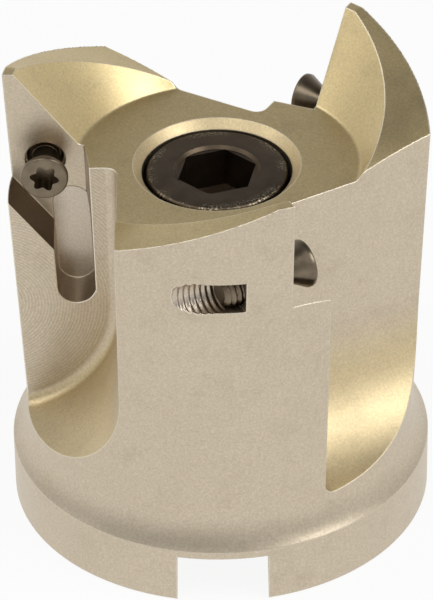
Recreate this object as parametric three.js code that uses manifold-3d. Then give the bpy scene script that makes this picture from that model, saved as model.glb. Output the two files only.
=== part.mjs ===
// An indexable face mill for a 22 mm arbor, in millimetres.
//
// The origin is the centre of the back face, where the mill sits against its arbor, and +Z runs along the axis to the
// cutting face. Three teeth stand 120 degrees apart and cut anticlockwise seen from +Z. Each tooth is drawn in its own
// frame: x is the radius through the tooth, y the cutting direction and z the axis, and rotation about z places it.
import * as THREE from "three";
import { mergeVertices } from "three/addons/utils/BufferGeometryUtils.js";
import Module from "manifold-3d";

const wasm = await Module();
wasm.setup();

const rad = THREE.MathUtils.degToRad;

// Body blank, turned on the axis.
const flangeRadius = 24.3;
const flangeHeight = 7.1;
const neckRadius = 22.45; // where the taper starts, above the flange's sweep
const neckSweepRadius = 7;
const crownRadius = 24.35; // the taper's radius at the tooth tips
const crownHeight = 53.3;
const faceHeight = 43.8; // the flat cutting face between the teeth
const dishRadius = 16.15; // where the flat face meets the dish
const dishAngle = rad(36.3); // from the axis
const dishFillet = 0.6;
const edgeBreak = 0.15; // chamfer on the back face's rim

// Seat for the arbor, and its drive slot.
const arborBoreRadius = 11;
const arborBoreDepth = 21;
const boreLeadIn = 0.6;
const driveSlotWidth = 10.4;
const driveSlotDepth = 6.2;

// Arbor screw, an M10 socket head cap screw, and its seat.
const screwSeatHeight = 33;
const headWellRadius = 8.5;
const headWellChamfer = 1;
const shankRadius = 4.9;
const shankClearance = 0.6;
const shankLength = 25;
const capHeadRadius = 8;
const capHeadHeight = 10;
const capHeadRounding = 0.5;
const hexAcrossFlats = 8;
const hexDepth = 5;
const hexCountersinkRadius = 4.95;
const hexCountersinkDepth = 0.35;
const hexTurn = rad(18);
const capThreadPitch = 1.5;
const capThreadDepth = 0.55;
const capThreadLength = 20;
const capSeatGap = 0.02; // the head rests this far off its seat

// Teeth and chip gullets.
const toothCount = 3;
const firstToothAngle = rad(180);
const gulletWallY = 0.6; // the flat wall that the pocket is sunk in
const gulletInnerX = 11.3; // the wall that backs the tooth ahead
const gulletCutterRadius = 14.5;
const gulletBottom = 10.8;
const gulletCornerRadius = 1.3;
const tipLandLength = 1.75; // flat tip before the relief starts
const reliefLead = 53.6; // the relief face falls at this rate for each turn about the axis
const reliefOverrun = 0.15; // the cut ends this far under the flat face, past the tooth's back wall
const reliefSteps = 32;

// Insert pocket: a 35 degree rhombic seat, leaning out with the taper.
const seatY = -4.2;
const seatInnerX = 15.4; // at the height of the cutting face
const insertLean = rad(2.5);
const insertPointAngle = rad(35);
const insertClearance = rad(7); // the pocket's walls lean back by this
const pocketFootX = 18.66; // a point on the pocket's lower wall, at the seat
const pocketFootZ = 33.6;
const slotCutterRadius = 2.18; // relief slot for the insert's lower point
const slotBottom = 25.3;
const slotTop = 36;
const slotExtraDepth = 0.2;

// Insert screws, M4 with a six-lobe drive.
const clampX = 19.5;
const clampZ = 41.9;
const clampHeadStandoff = 4; // from the seat to the head's face
const clampHeadRadius = 2.7;
const clampRimHeight = 0.6;
const clampConeHeight = 2.1;
const clampNeckRadius = 1.5;
const clampNeckLength = 1.8;
const clampThreadRadius = 1.85;
const clampThreadDepth = 0.28;
const clampThreadPitch = 0.7;
const clampLength = 11;
const clampWellRadius = 2.3;
const clampWellDepth = 0.9;
const tapRadius = 2.15; // the tapped hole, at its roots
const exitFlatY = -9.2; // flat sunk from outside, that the tapped hole comes out through
const exitSlotRadius = 1.95;
const lobeOuterRadius = 1.68;
const lobeInnerRadius = 1.2;
const lobeDepth = 1.3;

// Fineness of round shapes.
const blankSegments = 96;
const capSegments = 36;
const clampSegments = 24;
const holeSegments = 24;
const lobePoints = 36;

// ---- Solids and profiles ----

const outside = 40; // reach of a cut that leaves the body

// A closed geometry as a manifold-3d solid.
function solid(geometry) {
  const bare = geometry.index ? geometry.toNonIndexed() : geometry.clone();
  bare.deleteAttribute("normal");
  bare.deleteAttribute("uv");
  const merged = mergeVertices(bare, 1e-4);
  const mesh = new wasm.Mesh({
    numProp: 3,
    vertProperties: merged.attributes.position.array,
    triVerts: new Uint32Array(merged.index.array),
  });
  return new wasm.Manifold(mesh);
}

// A manifold-3d solid as a BufferGeometry.
function geometryOf(manifold) {
  const mesh = manifold.getMesh();
  const geometry = new THREE.BufferGeometry();
  geometry.setAttribute("position", new THREE.BufferAttribute(mesh.vertProperties, 3));
  geometry.setIndex(new THREE.BufferAttribute(mesh.triVerts, 1));
  return geometry;
}

// A geometry from a flat list of coordinates and its triangles.
function facesOver(coordinates, triangles) {
  const geometry = new THREE.BufferGeometry();
  geometry.setAttribute("position", new THREE.Float32BufferAttribute(coordinates, 3));
  geometry.setIndex(triangles);
  return geometry;
}

// A profile of [radius, z] pairs, listed anticlockwise with radius to the right, turned about Z.
function turned(profile, segments) {
  const points = profile.map(([radius, z]) => new THREE.Vector2(radius, z));
  return new THREE.LatheGeometry(points, segments).rotateX(Math.PI / 2);
}

// A closed ring profile, turned about Z.
function turnedRing(profile, segments) {
  return turned([...profile, profile[0]], segments);
}

// Points along an arc, ends included, by angle.
function arc(centreX, centreY, radius, from, to, steps) {
  return Array.from({ length: steps + 1 }, (_, i) => {
    const angle = from + ((to - from) * i) / steps;
    return [centreX + radius * Math.cos(angle), centreY + radius * Math.sin(angle)];
  });
}

// Turns a shape drawn in x and y and extruded along +Z so that it lies in the tooth's x and z, running towards -Y.
const intoToothPlane = new THREE.Matrix4().makeRotationX(Math.PI / 2);

// A prism over an outline in the tooth's x and z, from y = start down to y = end.
function toothPrism(outline, start, end) {
  const shape = new THREE.Shape(outline.map(([x, z]) => new THREE.Vector2(x, z)));
  return new THREE.ExtrudeGeometry(shape, { depth: start - end, bevelEnabled: false })
    .applyMatrix4(intoToothPlane)
    .translate(0, start, 0);
}

// A lathe about the insert screw's axis, which runs along the tooth's y. The profile's heights are y values.
function aboutClampAxis(profile, segments) {
  const points = profile.map(([radius, y]) => new THREE.Vector2(radius, y));
  return new THREE.LatheGeometry(points, segments).translate(clampX, 0, clampZ);
}

// A round cut along the tooth's y, at the insert screw's place.
function toothCylinder(radius, start, end) {
  const profile = [
    [0, end],
    [radius, end],
    [radius, start],
    [0, start],
  ];
  return solid(aboutClampAxis(profile, holeSegments));
}

// A thread's edge between two heights, drawn as rings: [radius, height] pairs from root to crest and back.
function threadEdge(from, to, pitch, baseRadius, crestRadius) {
  const turns = Math.max(1, Math.round((to - from) / pitch));
  return Array.from({ length: 2 * turns + 1 }, (_, i) => [
    i % 2 ? crestRadius : baseRadius,
    from + ((to - from) * i) / (2 * turns),
  ]);
}

function mesh(name, geometry, colour, roughness, metalness) {
  const material = new THREE.MeshStandardMaterial({ color: colour, roughness, metalness });
  const made = new THREE.Mesh(geometry, material);
  made.name = name;
  return made;
}

// ---- Body: one piece of nickel-plated steel ----

// The turned blank: flange, swept neck, taper, dish, screw well and arbor bore.
function blank() {
  // The sweep starts at the flange's top edge and meets the neck upright.
  const sweepX = neckRadius + neckSweepRadius;
  const sweepEnd = Math.acos((sweepX - flangeRadius) / neckSweepRadius);
  const sweepZ = flangeHeight + neckSweepRadius * Math.sin(sweepEnd);
  const sweep = arc(sweepX, sweepZ, neckSweepRadius, Math.PI + sweepEnd, Math.PI, 6);
  const dishSlope = Math.tan(dishAngle);
  const dishTop = dishRadius + (crownHeight - faceHeight) * dishSlope;
  // The fillet's centre is one fillet radius above the flat face, and touches the dish.
  const turn = Math.PI / 2 - dishAngle;
  const filletX = dishRadius - dishFillet * Math.tan(turn / 2);
  const fillet = arc(filletX, faceHeight + dishFillet, dishFillet, -Math.PI / 2 + turn, -Math.PI / 2, 4);
  const profile = [
    [arborBoreRadius + boreLeadIn, 0],
    [flangeRadius - edgeBreak, 0],
    [flangeRadius, edgeBreak],
    ...sweep,
    [crownRadius, crownHeight],
    [dishTop, crownHeight],
    ...fillet,
    [headWellRadius + headWellChamfer, faceHeight],
    [headWellRadius, faceHeight - headWellChamfer],
    [headWellRadius, screwSeatHeight],
    [shankRadius + shankClearance, screwSeatHeight],
    [shankRadius + shankClearance, arborBoreDepth],
    [arborBoreRadius, arborBoreDepth],
    [arborBoreRadius, boreLeadIn],
  ];
  return solid(turnedRing(profile, blankSegments));
}

// The drive slot, right across the back face.
function driveSlot() {
  const slot = new THREE.BoxGeometry(driveSlotWidth, 2 * outside, 2 * driveSlotDepth);
  return solid(slot);
}

// Everything above the tooth's relief face, down to the flat cutting face. The relief face is level along each radius
// and falls steadily behind the tip, like one blade of a screw.
function reliefCut() {
  const start = Math.atan2(-seatY, crownRadius) + tipLandLength / crownRadius;
  const fall = crownHeight - faceHeight + reliefOverrun;
  const sweep = (2 * Math.PI * fall) / reliefLead;
  const inner = dishRadius - dishFillet;
  const top = crownHeight + outside / 4;
  const corners = [];
  for (let i = 0; i <= reliefSteps; i++) {
    const share = i / reliefSteps;
    const angle = -(start + sweep * share);
    const height = crownHeight - fall * share;
    const ring = [[inner, height], [outside, height], [outside, top], [inner, top]];
    for (const [radius, z] of ring) corners.push(radius * Math.cos(angle), radius * Math.sin(angle), z);
  }
  const index = [0, 2, 1, 0, 3, 2];
  const last = 4 * reliefSteps;
  index.push(last, last + 1, last + 2, last, last + 2, last + 3);
  for (let i = 0; i < reliefSteps; i++) {
    for (let side = 0; side < 4; side++) {
      const a = 4 * i + side;
      const b = 4 * i + ((side + 1) % 4);
      index.push(a, b, a + 4, b, b + 4, a + 4);
    }
  }
  return solid(facesOver(corners, index));
}

// The chip gullet, milled along z by a cutter whose axis lies along y and whose corner is rounded.
function gulletCut() {
  const cutterX = gulletInnerX + gulletCutterRadius;
  const cutterZ = gulletBottom + gulletCutterRadius;
  const sweep = arc(cutterX, cutterZ, gulletCutterRadius, Math.PI, 1.5 * Math.PI, 18);
  const outline = [...sweep, [outside, gulletBottom], [outside, crownHeight + outside / 4]];
  outline.push([gulletInnerX, crownHeight + outside / 4]);
  const shape = new THREE.Shape(outline.map(([x, z]) => new THREE.Vector2(x, z)));
  const cut = new THREE.ExtrudeGeometry(shape, {
    depth: outside,
    bevelThickness: gulletCornerRadius,
    bevelSize: gulletCornerRadius,
    bevelOffset: -gulletCornerRadius,
    bevelSegments: 4,
  });
  cut.applyMatrix4(intoToothPlane);
  return solid(cut.translate(0, gulletWallY + gulletCornerRadius + outside, 0));
}

// A prism between two outlines with equal numbers of points, the first at y = yA and the second at y = yB < yA.
function draftedPrism(outlineA, yA, outlineB, yB) {
  const count = outlineA.length;
  const corners = [...outlineA.map(([x, z]) => [x, yA, z]), ...outlineB.map(([x, z]) => [x, yB, z])];
  const flat = outlineA.map(([x, z]) => new THREE.Vector2(x, z));
  const faces = THREE.ShapeUtils.triangulateShape(flat, []);
  const index = [];
  for (const [a, b, c] of faces) {
    index.push(a, c, b, a + count, b + count, c + count);
  }
  for (let i = 0; i < count; i++) {
    const j = (i + 1) % count;
    index.push(i, j, j + count, i, j + count, i + count);
  }
  return facesOver(corners.flat(), index);
}

// The pocket's outline at a height above the seat: its lower wall and its inner wall both lean back by the clearance.
function pocketOutline(aboveSeat) {
  const shift = aboveSeat * Math.tan(insertClearance);
  const innerSlope = Math.tan(insertLean);
  const lowerSlope = Math.tan(insertLean + insertPointAngle);
  const innerX = (z) => seatInnerX - shift / Math.cos(insertLean) + (z - faceHeight) * innerSlope;
  const lowerRun = shift / Math.cos(insertLean + insertPointAngle);
  const lowerX = (z) => pocketFootX + lowerRun + (z - pocketFootZ) * lowerSlope;
  const lowerZ = (x) => pocketFootZ + (x - pocketFootX - lowerRun) / lowerSlope;
  const pointZ = (innerX(0) - lowerX(0)) / (lowerSlope - innerSlope);
  const top = crownHeight + outside / 4;
  return [
    [innerX(pointZ), pointZ],
    [outside, lowerZ(outside)],
    [outside, top + outside],
    [innerX(top), top + outside],
  ];
}

function pocketCut() {
  const mouth = gulletWallY + gulletCornerRadius;
  const seat = pocketOutline(0);
  return solid(draftedPrism(pocketOutline(mouth - seatY), mouth, seat, seatY));
}

// The slot that clears the insert's lower point, round at both ends.
function reliefSlotCut() {
  const slope = Math.tan(insertLean);
  const gap = (gulletWallY - seatY) * Math.tan(insertClearance);
  const axisX = (z) => seatInnerX - gap + slotCutterRadius + (z - faceHeight) * slope;
  const low = slotBottom + slotCutterRadius;
  const outline = [
    ...arc(axisX(low), low, slotCutterRadius, Math.PI - insertLean, 2 * Math.PI - insertLean, 14),
    ...arc(axisX(slotTop), slotTop, slotCutterRadius, -insertLean, Math.PI - insertLean, 14),
  ];
  return solid(toothPrism(outline, gulletWallY + gulletCornerRadius, seatY - slotExtraDepth));
}

// The well for the screw's neck, the tapped hole, and the slot outside that the tap runs out into.
function clampHoleCut() {
  const wellFloor = seatY - clampWellDepth;
  const hole = toothCylinder(clampWellRadius, 0, wellFloor).add(toothCylinder(tapRadius, wellFloor, -outside / 2));
  const slotOutline = [
    ...arc(clampX, clampZ, exitSlotRadius, Math.PI / 2, 1.5 * Math.PI, 12),
    [outside, clampZ - exitSlotRadius],
    [outside, clampZ + exitSlotRadius],
  ];
  return hole.add(solid(toothPrism(slotOutline, exitFlatY, -outside)));
}

function body() {
  const tooth = [reliefCut(), gulletCut(), pocketCut(), reliefSlotCut(), clampHoleCut()];
  let made = blank().subtract(driveSlot());
  for (let i = 0; i < toothCount; i++) {
    const degrees = THREE.MathUtils.radToDeg(firstToothAngle) + (360 / toothCount) * i;
    for (const cut of tooth) made = made.subtract(cut.rotate([0, 0, degrees]));
  }
  return mesh("cutter_body", geometryOf(made), 0xbfb096, 0.4, 1);
}

// ---- Insert screws ----

// One screw in its tooth's frame, as it stands in the empty pocket with its head clear of the seat.
function insertScrew() {
  const face = seatY + clampHeadStandoff;
  const rimFoot = face - clampRimHeight;
  const coneFoot = rimFoot - clampConeHeight;
  const threadTop = coneFoot - clampNeckLength;
  const end = face - clampLength;
  const root = clampThreadRadius - clampThreadDepth;
  const rounding = 0.15;
  const profile = [
    [0, end],
    [root - clampThreadDepth, end],
    ...threadEdge(end + clampThreadDepth, threadTop, clampThreadPitch, root, clampThreadRadius),
    [clampNeckRadius, threadTop],
    [clampNeckRadius, coneFoot],
    [clampHeadRadius, rimFoot],
    [clampHeadRadius, face - rounding],
    [clampHeadRadius - rounding, face],
    [0, face],
  ];
  const turnedScrew = solid(aboutClampAxis(profile, clampSegments));
  // The drive: six lobes, a cosine between the two radii.
  const middle = (lobeOuterRadius + lobeInnerRadius) / 2;
  const swing = (lobeOuterRadius - lobeInnerRadius) / 2;
  const lobes = Array.from({ length: lobePoints }, (_, i) => {
    const angle = (i / lobePoints) * 2 * Math.PI;
    const radius = middle + swing * Math.cos(6 * angle);
    return [clampX + radius * Math.cos(angle), clampZ + radius * Math.sin(angle)];
  });
  const drive = solid(toothPrism(lobes, face + lobeDepth, face - lobeDepth));
  return geometryOf(turnedScrew.subtract(drive));
}

function insertScrews() {
  const geometry = insertScrew();
  const names = ["insert_screw_a", "insert_screw_b", "insert_screw_c"];
  return names.map((name, i) => {
    const screw = mesh(name, geometry, 0x6c6455, 0.45, 1);
    screw.rotation.z = firstToothAngle + (i * 2 * Math.PI) / toothCount;
    return screw;
  });
}

// ---- Arbor screw ----

function arborScrew() {
  const seat = screwSeatHeight + capSeatGap;
  const top = seat + capHeadHeight;
  const end = seat - shankLength;
  const threadTop = end + capThreadLength;
  const root = shankRadius - capThreadDepth;
  const corner = arc(
    capHeadRadius - capHeadRounding,
    top - capHeadRounding,
    capHeadRounding,
    0,
    Math.PI / 2,
    4,
  );
  const profile = [
    [0, end],
    [root - capThreadDepth, end],
    ...threadEdge(end + capThreadDepth, threadTop, capThreadPitch, root, shankRadius),
    [shankRadius, threadTop],
    [shankRadius, seat],
    [capHeadRadius, seat],
    ...corner,
    [hexCountersinkRadius, top],
    [hexCountersinkRadius - hexCountersinkDepth, top - hexCountersinkDepth],
    [0, top - hexCountersinkDepth],
  ];
  const turnedScrew = solid(turned(profile, capSegments));
  const cornerRadius = hexAcrossFlats / 2 / Math.cos(Math.PI / 6);
  const socket = new THREE.CylinderGeometry(cornerRadius, cornerRadius, 2 * hexDepth, 6)
    .rotateX(Math.PI / 2)
    .rotateZ(hexTurn)
    .translate(0, 0, top);
  return mesh("arbor_screw", geometryOf(turnedScrew.subtract(solid(socket))), 0x2a2725, 0.5, 1);
}

const faceMill = new THREE.Group();
faceMill.name = "face_mill";
faceMill.add(body(), ...insertScrews(), arborScrew());

export default faceMill;
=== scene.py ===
import math

import bmesh
import bpy
import numpy as np
from mathutils import Matrix, Vector


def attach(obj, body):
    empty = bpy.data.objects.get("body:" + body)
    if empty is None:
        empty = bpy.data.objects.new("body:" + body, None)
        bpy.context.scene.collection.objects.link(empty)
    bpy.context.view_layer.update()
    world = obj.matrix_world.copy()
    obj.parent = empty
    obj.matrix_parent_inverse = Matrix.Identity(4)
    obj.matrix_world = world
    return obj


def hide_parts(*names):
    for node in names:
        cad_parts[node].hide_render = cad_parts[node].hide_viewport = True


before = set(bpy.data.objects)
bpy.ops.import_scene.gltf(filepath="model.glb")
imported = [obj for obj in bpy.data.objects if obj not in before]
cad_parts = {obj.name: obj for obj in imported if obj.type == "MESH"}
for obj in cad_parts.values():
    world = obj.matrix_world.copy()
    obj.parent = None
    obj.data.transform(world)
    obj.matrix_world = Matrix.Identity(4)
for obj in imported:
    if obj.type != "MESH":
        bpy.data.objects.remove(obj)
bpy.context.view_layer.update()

# The sizes below are in millimetres and degrees turned to radians; Blender's own are in metres.
MM = 0.001

# ---- Cutter body ----
# The real piece is one block of alloy steel: turned all over, milled with three chip gullets, three insert
# pockets and a drive slot, tapped for the insert screws, then nickel plated to a warm satin finish.

TOOTH_ANGLES = np.radians([180, 300, 60])
FLANGE_RADIUS = 24.3
FLANGE_HEIGHT = 7.1
NECK_RADIUS = 22.45
NECK_SWEEP_RADIUS = 7.0
CROWN_RADIUS = 24.35
CROWN_HEIGHT = 53.3
FACE_HEIGHT = 43.8
DISH_RADIUS = 16.15
DISH_ANGLE = math.radians(36.3)
DISH_FILLET = 0.6
EDGE_BREAK = 0.15
ARBOR_BORE_RADIUS = 11.0
ARBOR_BORE_DEPTH = 21.0
BORE_LEAD_IN = 0.6
DRIVE_SLOT_WIDTH = 10.4
DRIVE_SLOT_DEPTH = 6.2
SCREW_SEAT_HEIGHT = 33.0
HEAD_WELL_RADIUS = 8.5
HEAD_WELL_CHAMFER = 1.0
SHANK_HOLE_RADIUS = 5.5
GULLET_WALL_Y = 0.6
GULLET_INNER_X = 11.3
GULLET_CUTTER_RADIUS = 14.5
GULLET_BOTTOM = 10.8
GULLET_AXIS = (GULLET_INNER_X + GULLET_CUTTER_RADIUS, GULLET_BOTTOM + GULLET_CUTTER_RADIUS)
GULLET_CORNER_RADIUS = 1.3
TIP_LAND_LENGTH = 1.75
RELIEF_LEAD = 53.6
RELIEF_OVERRUN = 0.15
SEAT_Y = -4.2
SEAT_INNER_X = 15.4
INSERT_LEAN = math.radians(2.5)
INSERT_POINT_ANGLE = math.radians(35)
INSERT_CLEARANCE = math.radians(7)
POCKET_FOOT = (18.66, 33.6)
SLOT_CUTTER_RADIUS = 2.18
SLOT_BOTTOM = 25.3
SLOT_TOP = 36.0
SLOT_EXTRA_DEPTH = 0.2
CLAMP_AXIS = (19.5, 41.9)
CLAMP_WELL_RADIUS = 2.3
CLAMP_WELL_DEPTH = 0.9
TAP_ROOT_RADIUS = 2.15
TAP_THREAD_DEPTH = 0.16
TAP_END_Y = -16.0
CLAMP_PITCH = 0.7
EXIT_FLAT_Y = -9.2
EXIT_SLOT_RADIUS = 1.95
# A distance and a height that lie clear outside the body, where the cuts run out.
OUTSIDE = 40.0
ABOVE = CROWN_HEIGHT + 10
# The least distance between two rows of points, so that none fall together.
ROW_GAP = 0.01
BLANK_STEPS = 192


def skin(name, grid, caps=False, ring=False):
    """A mesh object over a grid of points in mm, rows by columns. Quads join neighbours. The columns close
    on themselves, and so do the rows where ring is true. Caps close the first and last row."""
    rows, columns = grid.shape[:2]
    number = np.arange(rows * columns).reshape(rows, columns)
    after = np.roll(number, -1, axis=1)
    low, high = (number, np.roll(number, -1, axis=0)) if ring else (number[:-1], number[1:])
    low_after, high_after = (after, np.roll(after, -1, axis=0)) if ring else (after[:-1], after[1:])
    faces = np.stack([low, low_after, high_after, high], -1).reshape(-1, 4).tolist()
    if caps:
        faces += [number[0][::-1].tolist(), number[-1].tolist()]
    mesh = bpy.data.meshes.new(name)
    mesh.from_pydata((grid.reshape(-1, 3) * MM).tolist(), [], faces)
    tidy = bmesh.new()
    tidy.from_mesh(mesh)
    bmesh.ops.remove_doubles(tidy, verts=tidy.verts, dist=1e-7)
    bmesh.ops.dissolve_degenerate(tidy, dist=1e-8, edges=tidy.edges)
    bmesh.ops.recalc_face_normals(tidy, faces=tidy.faces)
    tidy.to_mesh(mesh)
    tidy.free()
    made = bpy.data.objects.new(name, mesh)
    bpy.context.scene.collection.objects.link(made)
    return made


def turned(profile, steps):
    """A profile of (radius, height) carried round Z: the point at angle a is (r cos a, r sin a, h)."""
    radius, height = np.asarray(profile, float).T
    angle = np.linspace(0, 2 * np.pi, steps, endpoint=False)[None, :]
    return np.stack([radius[:, None] * np.cos(angle), radius[:, None] * np.sin(angle),
                     height[:, None] + 0 * angle], -1)


def arc(centre, radius, start, end, steps):
    """Points at equal angles along a circle: centre + radius (cos a, sin a)."""
    angle = np.linspace(start, end, steps + 1)
    return np.stack([centre[0] + radius * np.cos(angle), centre[1] + radius * np.sin(angle)], -1)


def along_y(outlines, heights):
    """Outlines of (x, z), one for each y: the point is (x, y, z) in the tooth's own frame."""
    outlines = np.asarray(outlines, float)
    y = np.broadcast_to(np.asarray(heights, float)[:, None], outlines.shape[:2])
    return np.stack([outlines[..., 0], y, outlines[..., 1]], -1)


def onto_clamp_axis(grid):
    """Turns a shape made about Z so that its axis is the insert screw's, along the tooth's y."""
    return np.stack([CLAMP_AXIS[0] + grid[..., 0], grid[..., 2], CLAMP_AXIS[1] - grid[..., 1]], -1)


def turned_to(grid, angle):
    """Turns points about Z by the tooth's angle: x' = x cos a - y sin a, y' = x sin a + y cos a."""
    cosine, sine = np.cos(angle), np.sin(angle)
    return np.stack([grid[..., 0] * cosine - grid[..., 1] * sine,
                     grid[..., 0] * sine + grid[..., 1] * cosine, grid[..., 2]], -1)


def blank_profile():
    """The turned blank's closed edge: back face, flange, concave sweep, taper, dish, head well and bore."""
    sweep_x = NECK_RADIUS + NECK_SWEEP_RADIUS
    sweep_end = math.acos((sweep_x - FLANGE_RADIUS) / NECK_SWEEP_RADIUS)
    sweep_z = FLANGE_HEIGHT + NECK_SWEEP_RADIUS * math.sin(sweep_end)
    sweep = arc((sweep_x, sweep_z), NECK_SWEEP_RADIUS, math.pi + sweep_end, math.pi, 12)
    dish_top = DISH_RADIUS + (CROWN_HEIGHT - FACE_HEIGHT) * math.tan(DISH_ANGLE)
    turn = math.pi / 2 - DISH_ANGLE
    fillet_x = DISH_RADIUS - DISH_FILLET * math.tan(turn / 2)
    fillet = arc((fillet_x, FACE_HEIGHT + DISH_FILLET), DISH_FILLET, turn - math.pi / 2, -math.pi / 2, 5)
    return np.concatenate([
        [(ARBOR_BORE_RADIUS + BORE_LEAD_IN, 0),
         (FLANGE_RADIUS - EDGE_BREAK, 0), (FLANGE_RADIUS, EDGE_BREAK)],
        sweep,
        [(CROWN_RADIUS, CROWN_HEIGHT), (dish_top, CROWN_HEIGHT)],
        fillet,
        [(HEAD_WELL_RADIUS + HEAD_WELL_CHAMFER, FACE_HEIGHT),
         (HEAD_WELL_RADIUS, FACE_HEIGHT - HEAD_WELL_CHAMFER),
         (HEAD_WELL_RADIUS, SCREW_SEAT_HEIGHT), (SHANK_HOLE_RADIUS, SCREW_SEAT_HEIGHT),
         (SHANK_HOLE_RADIUS, ARBOR_BORE_DEPTH), (ARBOR_BORE_RADIUS, ARBOR_BORE_DEPTH),
         (ARBOR_BORE_RADIUS, BORE_LEAD_IN)]])


def relief_cut():
    """The space above a tooth's relief face, level along each radius: z falls by the lead for each turn."""
    start = math.atan2(-SEAT_Y, CROWN_RADIUS) + TIP_LAND_LENGTH / CROWN_RADIUS
    fall = CROWN_HEIGHT - FACE_HEIGHT + RELIEF_OVERRUN
    share = np.linspace(0, 1, 49)
    angle = -(start + 2 * np.pi * fall / RELIEF_LEAD * share)
    height = CROWN_HEIGHT - fall * share
    inner, top = DISH_RADIUS - DISH_FILLET, np.full_like(height, ABOVE)
    corners = [(inner, height), (OUTSIDE, height), (OUTSIDE, top), (inner, top)]
    return np.stack([np.stack([r * np.cos(angle), r * np.sin(angle), z], -1) for r, z in corners], 1)


def gullet_cut():
    """The chip gullet: one outline, drawn in near the wall so that the corner is a quarter circle."""
    swing = np.linspace(0, np.pi / 2, 7)
    inset = np.append(GULLET_CORNER_RADIUS * (1 - np.sin(swing)), 0)
    height = np.append(GULLET_WALL_Y + GULLET_CORNER_RADIUS * (1 - np.cos(swing)), OUTSIDE)
    outlines = [np.concatenate([arc(GULLET_AXIS, GULLET_CUTTER_RADIUS - d, math.pi, 1.5 * math.pi, 40),
                                [(OUTSIDE, GULLET_BOTTOM + d), (OUTSIDE, ABOVE),
                                 (GULLET_INNER_X + d, ABOVE)]])
                for d in inset]
    return along_y(outlines, height)


def pocket_cut():
    """The insert's seat: its inner and lower walls lean back by the clearance, so it widens with y."""
    inner_slope, lower_slope = math.tan(INSERT_LEAN), math.tan(INSERT_LEAN + INSERT_POINT_ANGLE)

    def outline(above_seat):
        shift = above_seat * math.tan(INSERT_CLEARANCE)

        def inner_x(z):
            return SEAT_INNER_X - shift / math.cos(INSERT_LEAN) + (z - FACE_HEIGHT) * inner_slope

        foot_x = POCKET_FOOT[0] + shift / math.cos(INSERT_LEAN + INSERT_POINT_ANGLE)
        point_z = (inner_x(0) - foot_x + POCKET_FOOT[1] * lower_slope) / (lower_slope - inner_slope)
        return [(inner_x(point_z), point_z), (OUTSIDE, POCKET_FOOT[1] + (OUTSIDE - foot_x) / lower_slope),
                (OUTSIDE, ABOVE + OUTSIDE), (inner_x(ABOVE), ABOVE + OUTSIDE)]

    mouth = GULLET_WALL_Y + GULLET_CORNER_RADIUS
    return along_y([outline(0), outline(mouth - SEAT_Y)], [SEAT_Y, mouth])


def relief_slot_cut():
    """The slot below the pocket, round at both ends, leaning with the taper."""
    slope = math.tan(INSERT_LEAN)
    gap = (GULLET_WALL_Y - SEAT_Y) * math.tan(INSERT_CLEARANCE)
    axis_at_face = SEAT_INNER_X - gap + SLOT_CUTTER_RADIUS
    low = SLOT_BOTTOM + SLOT_CUTTER_RADIUS
    low_end = (axis_at_face + (low - FACE_HEIGHT) * slope, low)
    top_end = (axis_at_face + (SLOT_TOP - FACE_HEIGHT) * slope, SLOT_TOP)
    outline = np.concatenate([
        arc(low_end, SLOT_CUTTER_RADIUS, math.pi - INSERT_LEAN, 2 * math.pi - INSERT_LEAN, 28),
        arc(top_end, SLOT_CUTTER_RADIUS, -INSERT_LEAN, math.pi - INSERT_LEAN, 28)])
    return along_y([outline, outline], [SEAT_Y - SLOT_EXTRA_DEPTH, GULLET_WALL_Y + GULLET_CORNER_RADIUS])


def thread(root, crest, start, end, pitch, around, lead_out=0.6):
    """A single-start thread: radius = root + (crest - root) w, where w is a rounded wave of height / pitch
    less angle / turn. It sinks to the root over the lead-out, in pitches, at both ends."""
    count = int(round(abs(end - start) / pitch * 10)) + 1
    height = np.linspace(start, end, count)[:, None]
    angle = np.linspace(0, 2 * np.pi, around, endpoint=False)[None, :]
    wave = 0.5 - 0.5 * np.cos(2 * np.pi * (height / pitch - angle / (2 * np.pi)))
    fade = np.clip(np.minimum(abs(height - start), abs(end - height)) / (lead_out * pitch), 0, 1)
    radius = root + (crest - root) * wave ** 0.8 * fade
    return np.stack([radius * np.cos(angle), radius * np.sin(angle), height + 0 * angle], -1)


def clamp_hole_cut():
    """The tapped hole: a plain well in the seat for the screw's neck, then the thread, out at the back."""
    well_floor, around = SEAT_Y - CLAMP_WELL_DEPTH, 32
    tapped = thread(TAP_ROOT_RADIUS, TAP_ROOT_RADIUS - TAP_THREAD_DEPTH, TAP_END_Y, well_floor - 2 * ROW_GAP,
                    CLAMP_PITCH, around)
    well = turned([(CLAMP_WELL_RADIUS, well_floor), (CLAMP_WELL_RADIUS, SEAT_Y + 3)], around)
    return onto_clamp_axis(np.concatenate([tapped, well]))


def exit_slot_cut():
    """The half-round slot milled from outside, which the tapped hole comes out in."""
    outline = np.concatenate([arc(CLAMP_AXIS, EXIT_SLOT_RADIUS, math.pi / 2, 1.5 * math.pi, 24),
                              [(OUTSIDE, CLAMP_AXIS[1] - EXIT_SLOT_RADIUS),
                               (OUTSIDE, CLAMP_AXIS[1] + EXIT_SLOT_RADIUS)]])
    return along_y([outline, outline], [-OUTSIDE, EXIT_FLAT_Y])


def drive_slot_cut():
    """A plain rectangular slot right across the back face."""
    half, deep = DRIVE_SLOT_WIDTH / 2, DRIVE_SLOT_DEPTH
    outline = [(-half, -deep), (half, -deep), (half, deep), (-half, deep)]
    return along_y([outline, outline], [-OUTSIDE, OUTSIDE])


def cut_away(made, cutters):
    """Takes each cutter out of the object in turn, keeps the result as its mesh and removes the cutters."""
    for cutter in cutters:
        step = made.modifiers.new(cutter.name, "BOOLEAN")
        step.operation, step.solver, step.object = "DIFFERENCE", "EXACT", cutter
    bpy.context.view_layer.update()
    mesh = bpy.data.meshes.new_from_object(made.evaluated_get(bpy.context.evaluated_depsgraph_get()))
    mesh.name = made.name
    made.modifiers.clear()
    made.data = mesh
    for cutter in cutters:
        bpy.data.objects.remove(cutter)
    return made


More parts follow.
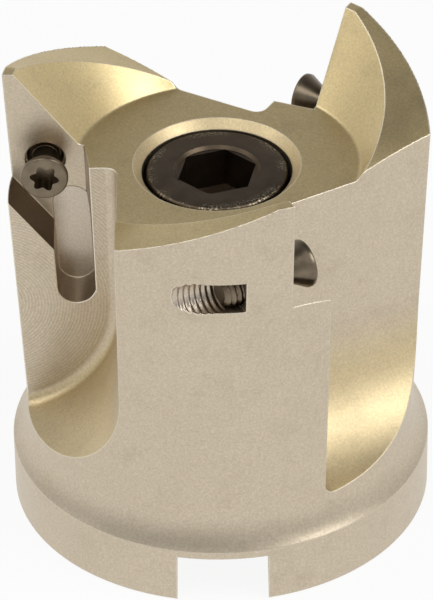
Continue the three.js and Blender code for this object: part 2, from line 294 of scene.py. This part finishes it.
def smooth_but_edges(made, angle):
    """Shades the faces smooth, apart from the edges that turn by more than the angle in degrees."""
    made.data.shade_smooth()
    made.data.set_sharp_from_angle(angle=math.radians(angle))
    return made


blank = skin("cutter_body_finish", turned(blank_profile(), BLANK_STEPS), ring=True)
cutters = [skin("drive_slot", drive_slot_cut(), caps=True)]
tooth_cuts = [relief_cut(), gullet_cut(), pocket_cut(), relief_slot_cut(), clamp_hole_cut(), exit_slot_cut()]
for angle in TOOTH_ANGLES:
    cutters += [skin("cut", turned_to(cut, angle), caps=True) for cut in tooth_cuts]
body = smooth_but_edges(cut_away(blank, cutters), 25)


def linear(hex_colour):
    """An sRGB hex colour as linear RGBA: above 0.04045, ((c + 0.055) / 1.055) to the power 2.4."""
    parts = np.array([int(hex_colour[i:i + 2], 16) / 255 for i in (1, 3, 5)])
    return (*np.where(parts > 0.04045, ((parts + 0.055) / 1.055) ** 2.4, parts / 12.92).tolist(), 1.0)


def add(tree, kind, inputs=None, **settings):
    """Adds a node. Settings are its own properties. Each input, by name or number, is a value or socket."""
    made = tree.nodes.new("ShaderNode" + kind)
    for key, value in settings.items():
        setattr(made, key, value)
    for key, value in (inputs or {}).items():
        if isinstance(value, bpy.types.NodeSocket):
            tree.links.new(value, made.inputs[key])
        else:
            made.inputs[key].default_value = value
    return made


def new_material(name):
    """An empty material, its node tree and its output node."""
    material = bpy.data.materials.new(name)
    material.use_nodes = True
    material.node_tree.nodes.clear()
    return material, material.node_tree, material.node_tree.nodes.new("ShaderNodeOutputMaterial")


PLATE = ("#d4c7b2", "#c6b8a1")
THIN_PLATE = ("#dcd0c0", "#bdb1a2")
# Darker tones: painted shade on the pocket's lower wall.
SHADE_DARKENED_TONES = ("#93867a", "#786c62")
# The yellow tint of the painted warm light on faces that turn up.
WARM_LIGHT_TINT = "#dbc798"
PLATE_STAIN = "#9c8c74"
# The near-white of the painted highlight along the edges.
EDGE_HIGHLIGHT_TINT = "#fff6e2"
EDGE_ROUNDING = 0.26
GRAIN_SIZE = 0.26
CLOUD_SIZE = 8.0
SMUDGE_SIZE = 4.2
MARK_SPACING = 0.36


def satin_nickel(name, tones, gloss_range, edge_highlight_share, marks=False, warm_light_share=0.0):
    """Nickel plate over a fine-ground surface. It is warm and satin: a soft, wide gloss, a fine grain (drawn
    coarser than the real one, so that it shows), faint clouds, smudges, and a painted highlight: a
    near-white mixed in along the edges by the given edge share. Where a face was left as milled, cutter
    lines curve round the cutter's axis. Painted warm light: the more a surface faces up, the more it is
    tinted yellow, by the given share."""
    light, shade = (linear(tone) for tone in tones)
    material, tree, output = new_material(name)
    place = add(tree, "TexCoord").outputs["Object"]
    grain = add(tree, "TexNoise", {"Vector": place, "Scale": 1 / (GRAIN_SIZE * MM), "Detail": 3.0,
                                   "Roughness": 0.65})
    cloud = add(tree, "TexNoise", {"Vector": place, "Scale": 1 / (CLOUD_SIZE * MM), "Detail": 4.0,
                                   "Roughness": 0.6})
    smudge = add(tree, "TexNoise", {"Vector": place, "Scale": 1 / (SMUDGE_SIZE * MM), "Detail": 6.0,
                                    "Roughness": 0.7})
    stain = add(tree, "MapRange", {"Value": smudge.outputs["Fac"], "From Min": 0.52, "From Max": 0.82,
                                   "To Max": 0.3})
    tone = add(tree, "Mix", {0: cloud.outputs["Fac"], 6: shade, 7: light}, data_type="RGBA")
    # Painted warm light: the more a face turns up, the more its colour goes to the yellow tint.
    if warm_light_share:
        facing = add(tree, "SeparateXYZ", {0: add(tree, "NewGeometry").outputs["True Normal"]})
        upward = add(tree, "MapRange", {"Value": facing.outputs["Z"], "From Max": 0.5, "To Max": warm_light_share},
                     interpolation_type="SMOOTHSTEP")
        tone = add(tree, "Mix", {0: upward.outputs[0], 6: tone.outputs[2], 7: linear(WARM_LIGHT_TINT)},
                   data_type="RGBA")
    stained = add(tree, "Mix", {0: stain.outputs[0], 6: tone.outputs[2], 7: linear(PLATE_STAIN)},
                  data_type="RGBA")
    speck = add(tree, "MapRange", {"Value": grain.outputs["Fac"], "From Min": 0.3, "From Max": 0.7,
                                   "To Min": 0.86, "To Max": 1.1})
    colour = add(tree, "Mix", {0: 1.0, 6: stained.outputs[2], 7: speck.outputs[0]},
                 data_type="RGBA", blend_type="MULTIPLY")
    height = grain.outputs["Fac"]
    if marks:
        # The lines are a sine of the place from the cutter's axis, which the smudges push about a little.
        from_axis = add(tree, "VectorMath", {0: add(tree, "UVMap", uv_map="tool_path").outputs[0]},
                        operation="LENGTH").outputs["Value"]
        wander = add(tree, "Math", {0: smudge.outputs["Fac"], 1: 0.5 * MM, 2: from_axis},
                     operation="MULTIPLY_ADD").outputs[0]
        phase = add(tree, "Math", {0: wander, 1: 2 * math.pi / (MARK_SPACING * MM)},
                    operation="MULTIPLY").outputs[0]
        wave = add(tree, "Math", {0: phase}, operation="SINE").outputs[0]
        height = add(tree, "Math", {0: wave, 1: 0.3, 2: height}, operation="MULTIPLY_ADD").outputs[0]
        line_tone = add(tree, "MapRange", {"Value": wave, "From Min": -1.0, "To Min": 0.88,
                                           "To Max": 1.04})
        colour = add(tree, "Mix", {0: 1.0, 6: colour.outputs[2], 7: line_tone.outputs[0]},
                     data_type="RGBA", blend_type="MULTIPLY")
    # An edge is where the rounded normal and the face's own normal part. There a near-white is mixed into
    # the colour: a painted highlight along the edges.
    worn = add(tree, "Bevel", {"Radius": EDGE_ROUNDING * MM}, samples=8)
    agree = add(tree, "VectorMath", {0: worn.outputs[0], 1: add(tree, "NewGeometry").outputs["Normal"]},
                operation="DOT_PRODUCT")
    painted_highlight = add(tree, "MapRange", {"Value": agree.outputs["Value"], "From Min": 0.995, "From Max": 0.93,
                                  "To Max": edge_highlight_share})
    bright = add(tree, "Mix", {0: painted_highlight.outputs[0], 6: colour.outputs[2], 7: linear(EDGE_HIGHLIGHT_TINT)},
                 data_type="RGBA")
    gloss = add(tree, "MapRange", {"Value": cloud.outputs["Fac"], "From Min": 0.3, "From Max": 0.7,
                                   "To Min": gloss_range[0], "To Max": gloss_range[1]})
    bump = add(tree, "Bump", {"Height": height, "Strength": 0.5, "Distance": 0.014 * MM,
                              "Normal": worn.outputs[0]})
    shader = add(tree, "BsdfPrincipled", {"Base Color": bright.outputs[2], "Metallic": 1.0,
                                          "Roughness": gloss.outputs[0], "Normal": bump.outputs[0]})
    tree.links.new(shader.outputs[0], output.inputs[0])
    return material


# How near a plane a face has to lie to belong to it, and the radii at which the pocket, the tapped hole and
# the exit slot give way to the outer surface.
ON_PLANE = 0.02
POCKET_REACH = 23.3
HOLE_REACH = 24.1
EXIT_REACH = 23.6
# The finishes' numbers, in the order of the body's materials. The third and fifth carry painted warm light,
# the sixth painted shade.
PLAIN, MILLED, PAINTED_WARM_LIGHT, THIN, PAINTED_WARM_LIGHT_ROUGH, PAINTED_SHADE = range(6)


def face_facts(mesh):
    """Each face's centre in mm, its normal and its number of corners, and each corner's place in mm."""
    count = len(mesh.polygons)
    centre, normal, size = np.empty(count * 3), np.empty(count * 3), np.empty(count, np.int32)
    mesh.polygons.foreach_get("center", centre)
    mesh.polygons.foreach_get("normal", normal)
    mesh.polygons.foreach_get("loop_total", size)
    vertex, point = np.empty(len(mesh.loops), np.int32), np.empty(len(mesh.vertices) * 3)
    mesh.loops.foreach_get("vertex_index", vertex)
    mesh.vertices.foreach_get("co", point)
    return centre.reshape(-1, 3) / MM, normal.reshape(-1, 3), size, point.reshape(-1, 3)[vertex] / MM


def sort_faces(mesh):
    """Gives each face the number of its finish: the outer plate, the milled gullet wall, the plate with
    painted warm light on the dish and face, the thin plate inside the pocket and holes, the rougher plate
    with painted warm light on the gullet floors and the head well's edge, or the pocket's lower wall, darker
    as painted shade.
    The walls' UV map is the place from the gullet cutter's axis, (x - x axis, z - z axis), in the tooth's
    own frame."""
    centre, normal, size, point = face_facts(mesh)
    finish, uv = np.full(len(size), PLAIN, np.int32), np.zeros((len(point), 2))
    reach, height, upward = np.hypot(centre[:, 0], centre[:, 1]), centre[:, 2], normal[:, 2]
    outward = (centre[:, 0] * normal[:, 0] + centre[:, 1] * normal[:, 1]) / np.maximum(reach, 0.1)
    outer = outward > 0.97
    # The dish's cone leans in and up. The flat face lies level at its own height, the relief faces above it.
    cone = (reach > DISH_RADIUS - 1) & (upward > 0.4) & (outward < -0.05) & (height > FACE_HEIGHT)
    level = (abs(height - FACE_HEIGHT) < 0.2) & (upward > 0.9)
    relief = (height > FACE_HEIGHT + 0.1) & (upward > 0.8)
    well_edge = ((reach < HEAD_WELL_RADIUS + HEAD_WELL_CHAMFER) & (abs(upward - 0.7) < 0.1)
                 & (height > FACE_HEIGHT - HEAD_WELL_CHAMFER - 1))
    finish[cone | level | relief] = PAINTED_WARM_LIGHT
    finish[well_edge] = PAINTED_WARM_LIGHT_ROUGH
    for angle in TOOTH_ANGLES:
        (x, y, z), facing = turned_to(centre, -angle).T, turned_to(normal, -angle)
        wall = (abs(y - GULLET_WALL_Y) < ON_PLANE) & (facing[:, 1] > 0.99)
        from_axis = np.hypot(x - GULLET_AXIS[0], np.minimum(z - GULLET_AXIS[1], 0))
        floor = ((y > GULLET_WALL_Y + ON_PLANE) & (x > GULLET_INNER_X - 0.1) & (x < GULLET_AXIS[0])
                 & (z < FACE_HEIGHT) & (from_axis > GULLET_CUTTER_RADIUS - GULLET_CORNER_RADIUS - 0.05)
                 & (from_axis < GULLET_CUTTER_RADIUS + 0.05) & (facing[:, 1] < 0.99))
        pocket = ((y > SEAT_Y - 0.5) & (y < GULLET_WALL_Y - ON_PLANE) & (abs(facing[:, 1]) < 0.5)
                  & (x > SEAT_INNER_X - 2) & (z > SLOT_BOTTOM - 0.5) & (facing[:, 2] < 0.99)
                  & (reach < POCKET_REACH) & ~cone)
        from_screw = np.hypot(x - CLAMP_AXIS[0], z - CLAMP_AXIS[1])
        hole = (y < SEAT_Y - ON_PLANE) & (from_screw < CLAMP_WELL_RADIUS + 0.3) & (reach < HOLE_REACH)
        slot_floor = (abs(y - SEAT_Y + SLOT_EXTRA_DEPTH) < ON_PLANE) & (facing[:, 1] > 0.9)
        exit_walls = ((y < EXIT_FLAT_Y) & (abs(z - CLAMP_AXIS[1]) < EXIT_SLOT_RADIUS + 0.25)
                      & (x > SEAT_INNER_X) & (reach < EXIT_REACH))
        # Painted shade: the pocket's wall that faces up above the slot gets darker tones, for the shade in
        # that recess.
        shaded_lower_wall = pocket & (facing[:, 2] > 0.3) & (z > SLOT_BOTTOM + 2 * SLOT_CUTTER_RADIUS)
        finish[floor & ~outer] = PAINTED_WARM_LIGHT_ROUGH
        finish[(pocket | hole | slot_floor | exit_walls) & ~outer] = THIN
        finish[shaded_lower_wall & ~outer] = PAINTED_SHADE
        finish[wall] = MILLED
        chosen = np.repeat(wall, size)
        local = turned_to(point[chosen], -angle)
        uv[chosen] = (local[:, [0, 2]] - GULLET_AXIS) * MM
    mesh.polygons.foreach_set("material_index", finish)
    mesh.uv_layers.new(name="tool_path").data.foreach_set("uv", uv.ravel())


sort_faces(body.data)
# The third and fifth plates carry painted warm light, the last painted shade, and each a painted highlight
# along its edges.
for material in (
        satin_nickel("satin_nickel_plated_steel", PLATE, (0.36, 0.44), 0.45),
        satin_nickel("satin_nickel_plated_steel_as_milled", PLATE, (0.36, 0.44), 0.9, marks=True),
        satin_nickel("nickel_plated_steel_painted_warm_light", PLATE, (0.36, 0.44), 0.9, warm_light_share=1.0),
        satin_nickel("thinly_plated_steel", THIN_PLATE, (0.3, 0.38), 0.6),
        satin_nickel("rough_nickel_plated_steel_painted_warm_light", PLATE, (0.44, 0.52), 0.6, warm_light_share=0.7),
        satin_nickel("thinly_plated_steel_painted_shade", SHADE_DARKENED_TONES, (0.3, 0.38), 0.6)):
    body.data.materials.append(material)
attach(body, "cutter_body")
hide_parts("cutter_body")

# ---- Insert screws ----
# The real ones are small countersunk screws of hardened steel, darkened by their heat treatment, with a
# six-lobe socket. Each stands in its tooth's tapped hole with its head clear of the empty seat.

HEAD_FACE_Y = SEAT_Y + 4
HEAD_RADIUS = 2.7
HEAD_RIM = 0.6
HEAD_CONE = 2.1
NECK = 1.5
NECK_LENGTH = 1.8
SCREW_THREAD_RADIUS = 1.85
SCREW_THREAD_DEPTH = 0.28
SCREW_LENGTH = 11
SCREW_TIP_CHAMFER = 0.35
RIM_ROUNDING = 0.22
LOBE_OUTER = 1.68
LOBE_INNER = 1.2
LOBE_DEPTH = 1.9
LOBE_TURN = math.radians(10)
LOBE_STEPS = 96
SCREW_STEPS = 72


def insert_screw_grid():
    """The screw from its tip to its head's face: rows of (radius, height), the thread between as a wave."""
    rim_foot = HEAD_FACE_Y - HEAD_RIM
    cone_foot = rim_foot - HEAD_CONE
    thread_top, tip = cone_foot - NECK_LENGTH, HEAD_FACE_Y - SCREW_LENGTH
    root = SCREW_THREAD_RADIUS - SCREW_THREAD_DEPTH
    rim = arc((HEAD_RADIUS - RIM_ROUNDING, HEAD_FACE_Y - RIM_ROUNDING), RIM_ROUNDING, 0, math.pi / 2, 6)
    bottom = turned([(0, tip), (root - SCREW_TIP_CHAMFER, tip), (root, tip + SCREW_TIP_CHAMFER)],
                    SCREW_STEPS)
    ridges = thread(root, SCREW_THREAD_RADIUS, tip + SCREW_TIP_CHAMFER + ROW_GAP, thread_top - 5 * ROW_GAP,
                    CLAMP_PITCH, SCREW_STEPS)
    head = turned(np.concatenate([[(NECK, thread_top), (NECK, cone_foot), (HEAD_RADIUS, rim_foot)], rim,
                                  [(0, HEAD_FACE_Y)]]), SCREW_STEPS)
    return onto_clamp_axis(np.concatenate([bottom, ridges, head]))


def six_lobes(deep):
    """The socket's outline: radius = middle + swing cos 6(a - turn), a wave between the two radii."""
    angle = np.linspace(0, 2 * np.pi, LOBE_STEPS, endpoint=False)
    radius = (LOBE_OUTER + LOBE_INNER) / 2 + (LOBE_OUTER - LOBE_INNER) / 2 * np.cos(6 * (angle - LOBE_TURN))
    outline = np.stack([CLAMP_AXIS[0] + radius * np.cos(angle), CLAMP_AXIS[1] + radius * np.sin(angle)], -1)
    return along_y([outline, outline], [HEAD_FACE_Y - deep, HEAD_FACE_Y + 1])


def darkened_steel():
    """Hardened steel darkened in the oven: grey with a yellow-brown cast, smooth where it was turned, with
    fine grain, and a little brighter in blotches of about 1 mm where it has been handled."""
    material, tree, output = new_material("heat_darkened_steel")
    place = add(tree, "TexCoord").outputs["Object"]
    grain = add(tree, "TexNoise", {"Vector": place, "Scale": 1 / (0.2 * MM), "Detail": 2.0})
    blotch = add(tree, "TexNoise", {"Vector": place, "Scale": 1 / (1.2 * MM), "Detail": 3.0})
    colour = add(tree, "Mix", {0: blotch.outputs["Fac"], 6: linear("#605546"), 7: linear("#908370")},
                 data_type="RGBA")
    gloss = add(tree, "MapRange", {"Value": blotch.outputs["Fac"], "To Min": 0.25, "To Max": 0.42})
    bump = add(tree, "Bump", {"Height": grain.outputs["Fac"], "Strength": 0.3, "Distance": 0.01 * MM})
    shader = add(tree, "BsdfPrincipled", {"Base Color": colour.outputs[2], "Metallic": 1.0,
                                          "Roughness": gloss.outputs[0], "Normal": bump.outputs[0]})
    tree.links.new(shader.outputs[0], output.inputs[0])
    return material


screw_steel = darkened_steel()
for letter, angle in zip("abc", TOOTH_ANGLES):
    screw = skin("insert_screw_" + letter + "_finish", turned_to(insert_screw_grid(), angle))
    cut_away(screw, [skin("socket", turned_to(six_lobes(LOBE_DEPTH), angle), caps=True)])
    smooth_but_edges(screw, 35)
    screw.data.materials.append(screw_steel)
    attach(screw, "insert_screw_" + letter)
    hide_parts("insert_screw_" + letter)

# ---- Arbor screw ----
# The real one is a forged and rolled socket head cap screw in black oxide. Its head has a straight knurl
# round the side, a turned face and a countersunk hexagon socket. It sits loose in the body's head well.

CAP_SEAT = SCREW_SEAT_HEIGHT + 0.02
CAP_HEAD_RADIUS = 8.0
CAP_HEAD_HEIGHT = 10.0
CAP_ROUNDING = 0.5
CAP_TIP_CHAMFER = 0.5
CAP_HEAD_CHAMFER = 0.5
CAP_SHANK_RADIUS = 4.9
CAP_SHANK_LENGTH = 25.0
CAP_THREAD_LENGTH = 20.0
CAP_THREAD_DEPTH = 0.55
CAP_PITCH = 1.5
HEX_FLATS = 8.0
HEX_DEPTH = 5.0
HEX_TURN = math.radians(18)
HEX_DRILL_DEPTH = 1.2
HEX_COUNTERSINK_RADIUS = 4.95
HEX_COUNTERSINK_DEPTH = 0.35
KNURL_RIDGES = 60
KNURL_DEPTH = 0.22
CAP_STEPS = 360


def cap_screw_grid():
    """The screw from its tip up: thread, shank, then the head, whose side is a knurl of n ridges: radius =
    head radius - depth (1 - |cos(n angle / 2)|)."""
    top, tip = CAP_SEAT + CAP_HEAD_HEIGHT, CAP_SEAT - CAP_SHANK_LENGTH
    root = CAP_SHANK_RADIUS - CAP_THREAD_DEPTH
    bottom = turned([(0, tip), (root - CAP_TIP_CHAMFER, tip), (root, tip + CAP_TIP_CHAMFER)], CAP_STEPS)
    ridges = thread(root, CAP_SHANK_RADIUS, tip + CAP_TIP_CHAMFER + 2 * ROW_GAP, tip + CAP_THREAD_LENGTH,
                    CAP_PITCH, CAP_STEPS)
    shank = turned([(CAP_SHANK_RADIUS, tip + CAP_THREAD_LENGTH + 0.3), (CAP_SHANK_RADIUS, CAP_SEAT),
                    (CAP_HEAD_RADIUS - CAP_HEAD_CHAMFER, CAP_SEAT)], CAP_STEPS)
    angle = np.linspace(0, 2 * np.pi, CAP_STEPS, endpoint=False)[None, :]
    # The knurl runs in 1 mm above the seat and fades in the rounded top corner.
    side = np.array([CAP_SEAT + CAP_HEAD_CHAMFER, CAP_SEAT + 1.0, CAP_SEAT + 1.2, top - 0.75, top - 0.45])
    side = side[:, None]
    depth = np.array([0.0, 0.0, KNURL_DEPTH, KNURL_DEPTH, 0.4 * KNURL_DEPTH])[:, None]
    radius = CAP_HEAD_RADIUS - depth * (1 - abs(np.cos(KNURL_RIDGES * angle / 2)))
    knurl = np.stack([radius * np.cos(angle), radius * np.sin(angle), side + 0 * angle], -1)
    corner = arc((CAP_HEAD_RADIUS - CAP_ROUNDING, top - CAP_ROUNDING), CAP_ROUNDING, 0.3, math.pi / 2, 5)
    foot = top - HEX_COUNTERSINK_DEPTH
    countersink = [(HEX_COUNTERSINK_RADIUS, top), (HEX_COUNTERSINK_RADIUS - HEX_COUNTERSINK_DEPTH, foot),
                   (0, foot)]
    face = turned(np.concatenate([corner, countersink]), CAP_STEPS)
    return np.concatenate([bottom, ridges, shank, knurl, face])


def hexagon_cut():
    """The hexagon socket, with a shallow drilled cone at its foot."""
    top, corner = CAP_SEAT + CAP_HEAD_HEIGHT, HEX_FLATS / 2 / math.cos(math.pi / 6)
    profile = [(corner * 0.05, top - HEX_DEPTH - HEX_DRILL_DEPTH), (corner, top - HEX_DEPTH),
               (corner, top + 1)]
    return turned_to(turned(profile, 6), HEX_TURN)


def black_oxide():
    """Black oxide over steel, wiped with oil: near black with a brown cast, softly glossy. In patches round
    the head's rim, its high spots, a few tenths of a mm across, have rubbed back to bare steel."""
    material, tree, output = new_material("black_oxide_steel")
    place = add(tree, "TexCoord").outputs["Object"]
    cloud = add(tree, "TexNoise", {"Vector": place, "Scale": 1 / (2.5 * MM), "Detail": 4.0})
    grain = add(tree, "TexNoise", {"Vector": place, "Scale": 1 / (0.25 * MM), "Detail": 2.0})
    patch = add(tree, "TexNoise", {"Vector": place, "Scale": 1 / (3.5 * MM), "Detail": 3.0})
    oxide = add(tree, "Mix", {0: cloud.outputs["Fac"], 6: linear("#40362e"), 7: linear("#6c5f4e")},
                data_type="RGBA")
    # The rim is what lies far from the axis and near the head's top.
    flat_place = add(tree, "VectorMath", {0: place, 1: (1.0, 1.0, 0.0)}, operation="MULTIPLY")
    from_axis = add(tree, "VectorMath", {0: flat_place.outputs[0]}, operation="LENGTH").outputs["Value"]
    far_out = add(tree, "MapRange", {"Value": from_axis, "From Min": (CAP_HEAD_RADIUS - 1.3) * MM,
                                     "From Max": (CAP_HEAD_RADIUS - 0.25) * MM})
    top = (CAP_SEAT + CAP_HEAD_HEIGHT) * MM
    high_up = add(tree, "MapRange", {"Value": add(tree, "SeparateXYZ", {0: place}).outputs["Z"],
                                     "From Min": top - 1.8 * MM, "From Max": top - 0.6 * MM, "To Min": 0.15})
    rim = add(tree, "Math", {0: far_out.outputs[0], 1: high_up.outputs[0]}, operation="MULTIPLY")
    worn = add(tree, "MapRange", {"Value": patch.outputs["Fac"], "From Min": 0.38, "From Max": 0.6})
    speck = add(tree, "MapRange", {"Value": grain.outputs["Fac"], "From Min": 0.5, "From Max": 0.62})
    rubbed = add(tree, "Math", {0: worn.outputs[0], 1: speck.outputs[0]}, operation="MULTIPLY")
    bare = add(tree, "Math", {0: rubbed.outputs[0], 1: rim.outputs[0]}, operation="MULTIPLY")
    colour = add(tree, "Mix", {0: bare.outputs[0], 6: oxide.outputs[2], 7: linear("#c9bfa6")},
                 data_type="RGBA")
    gloss = add(tree, "MapRange", {"Value": cloud.outputs["Fac"], "To Min": 0.3, "To Max": 0.5})
    bump = add(tree, "Bump", {"Height": grain.outputs["Fac"], "Strength": 0.35, "Distance": 0.015 * MM})
    shader = add(tree, "BsdfPrincipled", {"Base Color": colour.outputs[2], "Metallic": 1.0,
                                          "Roughness": gloss.outputs[0], "Normal": bump.outputs[0]})
    tree.links.new(shader.outputs[0], output.inputs[0])
    return material


cap_screw = skin("arbor_screw_finish", cap_screw_grid())
cut_away(cap_screw, [skin("hexagon", hexagon_cut(), caps=True)])
smooth_but_edges(cap_screw, 35)
cap_screw.data.materials.append(black_oxide())
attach(cap_screw, "arbor_screw")
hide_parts("arbor_screw")

# ---- Floor ----
# A sheet of matt white card, far wider than the mill. The camera sees it as plain white with a faint shadow.
# It lies a hair below the mill's back face, so that the two don't share a plane.

CARD_HALF_WIDTH = 1500.0
CARD_DROP = 0.05
CARD_WHITE_SHARE = 0.9
corners = np.array([[-1, -1], [1, -1], [1, 1], [-1, 1]]) * CARD_HALF_WIDTH * MM
card_mesh = bpy.data.meshes.new("floor")
card_mesh.from_pydata([(x, y, -CARD_DROP * MM) for x, y in corners.tolist()], [], [(0, 1, 2, 3)])
floor = bpy.data.objects.new("floor", card_mesh)
bpy.context.scene.collection.objects.link(floor)


def white_card():
    """Matt card: the camera, glass and metal see mostly its own white, other rays see it lit."""
    material, tree, output = new_material("matt_white_card")
    rays = add(tree, "LightPath")
    seen = add(tree, "Math", {0: rays.outputs["Is Camera Ray"], 1: rays.outputs["Is Transmission Ray"]},
               operation="MAXIMUM")
    seen = add(tree, "Math", {0: seen.outputs[0], 1: rays.outputs["Is Glossy Ray"]}, operation="MAXIMUM")
    share = add(tree, "Math", {0: seen.outputs[0], 1: CARD_WHITE_SHARE}, operation="MULTIPLY")
    lit = add(tree, "BsdfDiffuse", {"Color": (0.9, 0.9, 0.9, 1.0)})
    white = add(tree, "Emission", {"Color": (1.0, 1.0, 1.0, 1.0), "Strength": 1.0})
    mixed = add(tree, "MixShader", {0: share.outputs[0], 1: lit.outputs[0], 2: white.outputs[0]})
    tree.links.new(mixed.outputs[0], output.inputs[0])
    return material


card_mesh.materials.append(white_card())

# ---- Light ----
# Soft boxes high in front, high on the right and high on the left, in a pale room that is dimmer towards its
# ceiling.

AIM = Vector((0, 0, 0.028))
HORIZON_LIGHT = 0.82
CEILING_FALL = 0.75


def soft_box(name, place, width, power):
    """A square area lamp, aimed at the mill: its place and width in metres, its power in watts."""
    data = bpy.data.lights.new(name, "AREA")
    data.shape, data.size, data.energy = "SQUARE", width, power
    lamp = bpy.data.objects.new(name, data)
    lamp.location = place
    lamp.rotation_euler = (AIM - Vector(place)).to_track_quat("-Z", "Y").to_euler()
    bpy.context.scene.collection.objects.link(lamp)


soft_box("key_box", (-0.14, -0.26, 0.66), 0.3, 0.85)
soft_box("right_box", (0.4, -0.2, 0.5), 0.34, 1.6)
soft_box("left_box", (-0.42, 0.04, 0.52), 0.4, 0.9)

room = bpy.data.worlds.new("pale_room")
room.use_nodes = True
room.node_tree.nodes.clear()
sky = room.node_tree
# Brightness = the horizon's, less the fall times the direction's z.
fall = add(sky, "VectorMath", {0: add(sky, "TexCoord").outputs["Generated"], 1: (0.0, 0.0, CEILING_FALL)},
           operation="DOT_PRODUCT")
brightness = add(sky, "Math", {0: HORIZON_LIGHT, 1: fall.outputs["Value"]}, operation="SUBTRACT",
                 use_clamp=True)
light = add(sky, "Background", {"Color": (1.0, 1.0, 1.0, 1.0), "Strength": brightness.outputs[0]})
sky.links.new(light.outputs[0], sky.nodes.new("ShaderNodeOutputWorld").inputs[0])
bpy.context.scene.world = room
bpy.context.scene.view_settings.view_transform = "Standard"

# ---- Camera ----
# It stands 0.5 m in front of the drive slot's end and looks down at 35 degrees through a long lens. The lens
# and the shift are shares of the image's longer side.

ELEVATION = math.radians(35.44)
ROLL = math.radians(-0.84)
DISTANCE = 0.5045
AIM_HEIGHT = 0.0249
LENS_PER_SIDE = 7.307
LENS_SHIFT = (-0.004, 0.00017)

forward = Vector((0, math.cos(ELEVATION), -math.sin(ELEVATION)))
level, upright = Vector((1, 0, 0)), Vector((0, math.sin(ELEVATION), math.cos(ELEVATION)))
right = level * math.cos(ROLL) + upright * math.sin(ROLL)
up = upright * math.cos(ROLL) - level * math.sin(ROLL)
eye = Vector((0, 0, AIM_HEIGHT)) - forward * DISTANCE
camera_data = bpy.data.cameras.new("camera")
camera_data.sensor_width = 36
camera_data.lens = LENS_PER_SIDE * camera_data.sensor_width
camera_data.shift_x, camera_data.shift_y = LENS_SHIFT
camera = bpy.data.objects.new("camera", camera_data)
camera.matrix_world = Matrix(((right.x, up.x, -forward.x, eye.x), (right.y, up.y, -forward.y, eye.y),
                              (right.z, up.z, -forward.z, eye.z), (0, 0, 0, 1)))
bpy.context.scene.collection.objects.link(camera)
bpy.context.scene.camera = camera
